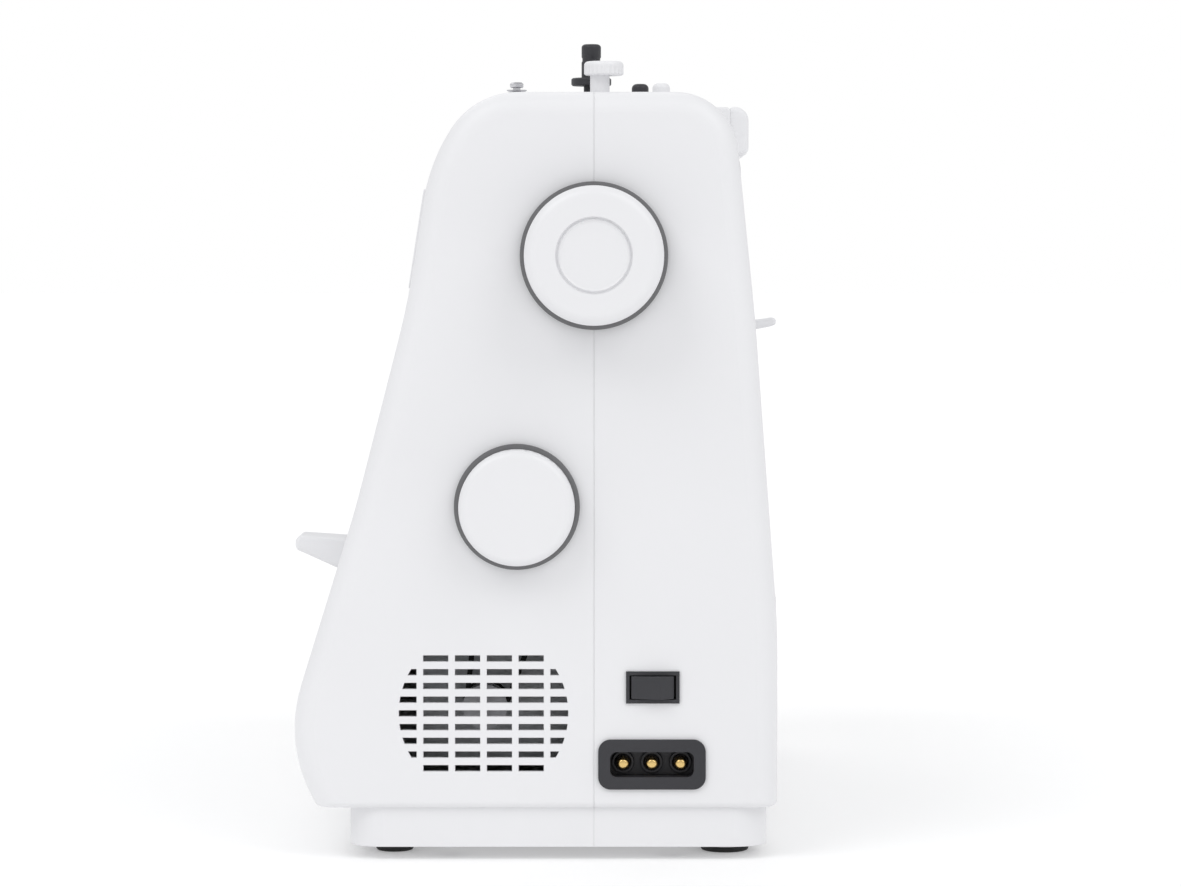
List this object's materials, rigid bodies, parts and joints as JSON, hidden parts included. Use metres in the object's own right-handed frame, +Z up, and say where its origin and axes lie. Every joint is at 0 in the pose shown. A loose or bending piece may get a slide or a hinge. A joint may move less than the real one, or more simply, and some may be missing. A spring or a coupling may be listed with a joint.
{
  "type": "sewing machine",
  "caption": "Domestic free-arm sewing machine with a tapered white casing, handwheel, side dial, lift-up handle, sewing head and a slide-off extension table.",
  "frame": {"origin": "middle of the footprint at floor level, under the machine's bounding box", "axes": "+Z up; +X from the needle to the handwheel; -Y faces the operator"},
  "size_m": [0.41, 0.2, 0.31],
  "materials": {
    "casing_white": "fine satin moulding",
    "knob_white": "smooth satin gloss",
    "table_white": "fine satin moulding",
    "dark_plastic": "satin",
    "ring_grey": "satin",
    "rubber_black": "matt",
    "steel": "ground",
    "plated": "bright plated",
    "cast_alloy": "as cast",
    "bronze": "sintered",
    "brass": "bright",
    "clear_cover": "clear moulding",
    "lamp_lens": "frosted",
    "window_grey": "printed gloss panel",
    "control_grey": "satin gloss",
    "motor_black": "satin",
    "nylon": "natural"
  },
  "bodies": {
    "chassis": {"front_cover": "casing_white", "rear_cover": "casing_white", "base": "casing_white", "feet": "rubber_black", "cover_screws": "plated", "selector_bezel": "ring_grey", "inlet_socket": "dark_plastic", "inlet_pins": "brass", "switch_housing": "dark_plastic", "machine_frame": "cast_alloy", "bearing_bushes": "bronze", "motor_body": "motor_black", "motor_belt": "rubber_black", "timing_belt": "rubber_black", "bobbin_holder": "dark_plastic", "needle_plate": "plated", "free_arm_cover": "casing_white", "presser_spring": "steel", "winder_stopper": "knob_white", "thread_guides": "knob_white", "tension_discs": "plated", "pattern_window": "window_grey", "work_lamp": "lamp_lens"},
    "main_drive": {"arm_shaft": "steel", "handwheel_cap": "knob_white", "handwheel_ring": "ring_grey", "drive_pulley": "nylon", "needle_crank": "steel"},
    "lower_drive": {"lower_shaft": "steel"},
    "hook": {"rotary_hook": "steel"},
    "bobbin_reel": {"bobbin": "clear_cover"},
    "motor_rotor": {"motor_pulley": "steel"},
    "cams": {"cam_stack": "nylon"},
    "selector": {"selector_dial": "knob_white"},
    "length_dial": {"stitch_length_dial": "knob_white"},
    "width_dial": {"stitch_width_dial": "knob_white"},
    "tension": {"tension_dial": "knob_white"},
    "reverse": {"reverse_lever": "knob_white"},
    "rocker": {"switch_rocker": "dark_plastic"},
    "handle": {"carrying_handle": "casing_white"},
    "left_spool_pin": {"spool_pin_left": "dark_plastic"},
    "right_spool_pin": {"spool_pin_right": "knob_white"},
    "winder_arm": {"winder_lever": "nylon"},
    "winder": {"winder_spindle": "dark_plastic"},
    "needle_group": {"needle_bar": "plated", "needle_clamp": "plated", "needle": "plated"},
    "presser_group": {"presser_bar": "plated", "foot_holder": "plated"},
    "foot": {"presser_foot": "plated"},
    "lifter": {"presser_lifter": "knob_white"},
    "take_up": {"take_up_lever": "plated"},
    "face": {"face_cover": "casing_white"},
    "table": {"extension_table": "table_white"},
    "lid": {"accessory_lid": "table_white"},
    "bobbin_cover": {"hook_cover": "clear_cover"},
    "cover_release": {"hook_cover_button": "control_grey"},
    "drop_lever": {"feed_drop_lever": "control_grey"},
    "feed_carrier": {"feed_bar": "steel"},
    "feed_teeth": {"feed_dog": "steel"}
  },
  "joints": [
    {"name": "handwheel_turn", "type": "hinge", "parent": "chassis", "child": "main_drive", "pos_m": [0, 0.016, 0.2286], "axis": [1, 0, 0], "continuous": true},
    {"name": "lower_shaft_turn", "type": "hinge", "parent": "chassis", "child": "lower_drive", "pos_m": [0, 0.016, 0.047], "axis": [1, 0, 0], "continuous": true},
    {"name": "hook_turn", "type": "hinge", "parent": "chassis", "child": "hook", "pos_m": [-0.16, -0.004, 0.05], "axis": [0, 0, 1], "continuous": true},
    {"name": "bobbin_turn", "type": "hinge", "parent": "chassis", "child": "bobbin_reel", "pos_m": [-0.16, -0.004, 0.062], "axis": [0, 0, 1], "continuous": true},
    {"name": "motor_turn", "type": "hinge", "parent": "chassis", "child": "motor_rotor", "pos_m": [0.15, -0.0257, 0.056], "axis": [1, 0, 0], "continuous": true},
    {"name": "cam_turn", "type": "hinge", "parent": "chassis", "child": "cams", "pos_m": [-0.025, 0.016, 0.2565], "axis": [0, 1, 0], "continuous": true},
    {"name": "selector_turn", "type": "hinge", "parent": "chassis", "child": "selector", "pos_m": [0.18, -0.013, 0.1342], "axis": [1, 0, 0], "continuous": true},
    {"name": "stitch_length_turn", "type": "hinge", "parent": "chassis", "child": "length_dial", "pos_m": [0.045, -0.05039, 0.236], "axis": [0, -0.988, 0.1547], "range_deg": [0, 300]},
    {"name": "stitch_width_turn", "type": "hinge", "parent": "chassis", "child": "width_dial", "pos_m": [-0.01, -0.05039, 0.236], "axis": [0, -0.988, 0.1547], "range_deg": [0, 300]},
    {"name": "tension_turn", "type": "hinge", "parent": "chassis", "child": "tension", "pos_m": [-0.11, -0.05039, 0.236], "axis": [0, -0.988, 0.1547], "range_deg": [0, 330]},
    {"name": "reverse_press", "type": "hinge", "parent": "chassis", "child": "reverse", "pos_m": [0.12, -0.059, 0.112], "axis": [1, 0, 0], "range_deg": [0, 12], "stiffness_Nm_per_rad": 0.06, "springref_deg": -17.19},
    {"name": "switch_rock", "type": "hinge", "parent": "chassis", "child": "rocker", "pos_m": [0.178, 0.0382, 0.0659], "axis": [0, 0, 1], "range_deg": [0, 14]},
    {"name": "handle_lift", "type": "hinge", "parent": "chassis", "child": "handle", "pos_m": [-0.03, 0.024, 0.283], "axis": [1, 0, 0], "range_deg": [0, 90]},
    {"name": "left_spool_pin_slide", "type": "slide", "parent": "chassis", "child": "left_spool_pin", "axis": [0, 0, 1], "range_m": [0, 0.045]},
    {"name": "right_spool_pin_slide", "type": "slide", "parent": "chassis", "child": "right_spool_pin", "axis": [0, 0, 1], "range_m": [0, 0.045]},
    {"name": "winder_swing", "type": "hinge", "parent": "chassis", "child": "winder_arm", "pos_m": [0.138, 0.043, 0.27], "axis": [0, 0, 1], "range_deg": [0, 6]},
    {"name": "winder_spin", "type": "hinge", "parent": "winder_arm", "child": "winder", "pos_m": [0.138, 0.015, 0.29], "axis": [0, 0, 1], "continuous": true},
    {"name": "needle_stroke", "type": "slide", "parent": "chassis", "child": "needle_group", "axis": [0, 0, -1], "range_m": [0, 0.03]},
    {"name": "presser_drop", "type": "slide", "parent": "chassis", "child": "presser_group", "axis": [0, 0, -1], "range_m": [0, 0.006]},
    {"name": "lifter_swing", "type": "hinge", "parent": "chassis", "child": "lifter", "pos_m": [-0.159, 0.046, 0.19], "axis": [-1, 0, 0], "range_deg": [0, 30]},
    {"name": "foot_tilt", "type": "hinge", "parent": "presser_group", "child": "foot", "pos_m": [-0.16, 0.025, 0.0815], "axis": [-1, 0, 0], "range_deg": [0, 8]},
    {"name": "take_up_swing", "type": "hinge", "parent": "chassis", "child": "take_up", "pos_m": [-0.16875, -0.002, 0.238], "axis": [-1, 0, 0], "range_deg": [0, 56]},
    {"name": "face_cover_swing", "type": "hinge", "parent": "chassis", "child": "face", "pos_m": [-0.176, 0.0774, 0.204], "axis": [0, 0.0896, -0.996], "range_deg": [0, 90]},
    {"name": "table_slide", "type": "slide", "parent": "chassis", "child": "table", "axis": [-1, 0, 0], "range_m": [0, 0.15]},
    {"name": "lid_open", "type": "hinge", "parent": "table", "child": "lid", "pos_m": [-0.072, -0.0919, 0.0284], "axis": [1, 0, 0], "range_deg": [0, 85]},
    {"name": "hook_cover_pop", "type": "slide", "parent": "chassis", "child": "bobbin_cover", "axis": [0, 0, 1], "range_m": [0, 0.005]},
    {"name": "cover_release_press", "type": "slide", "parent": "chassis", "child": "cover_release", "axis": [1, 0, 0], "range_m": [0, 0.002], "stiffness_N_per_m": 150, "springref_m": -0.001},
    {"name": "feed_drop_slide", "type": "slide", "parent": "chassis", "child": "drop_lever", "axis": [1, 0, 0], "range_m": [0, 0.012]},
    {"name": "feed_bar_drop", "type": "slide", "parent": "chassis", "child": "feed_carrier", "axis": [0, 0, -1], "range_m": [0, 0.0026]},
    {"name": "feed_stroke", "type": "slide", "parent": "feed_carrier", "child": "feed_teeth", "axis": [0, 1, 0], "range_m": [-0.002, 0.002]}
  ],
  "couplings": [
    {"joint": "lower_shaft_turn", "follows": "handwheel_turn", "ratio": 1},
    {"joint": "hook_turn", "follows": "handwheel_turn", "ratio": 2},
    {"joint": "motor_turn", "follows": "handwheel_turn", "ratio": 4.65},
    {"joint": "cam_turn", "follows": "handwheel_turn", "ratio": 0.05},
    {"joint": "lifter_swing", "follows": "presser_drop", "rad_per_m": 87.2},
    {"joint": "feed_bar_drop", "follows": "feed_drop_slide", "ratio": 0.2083}
  ]
}
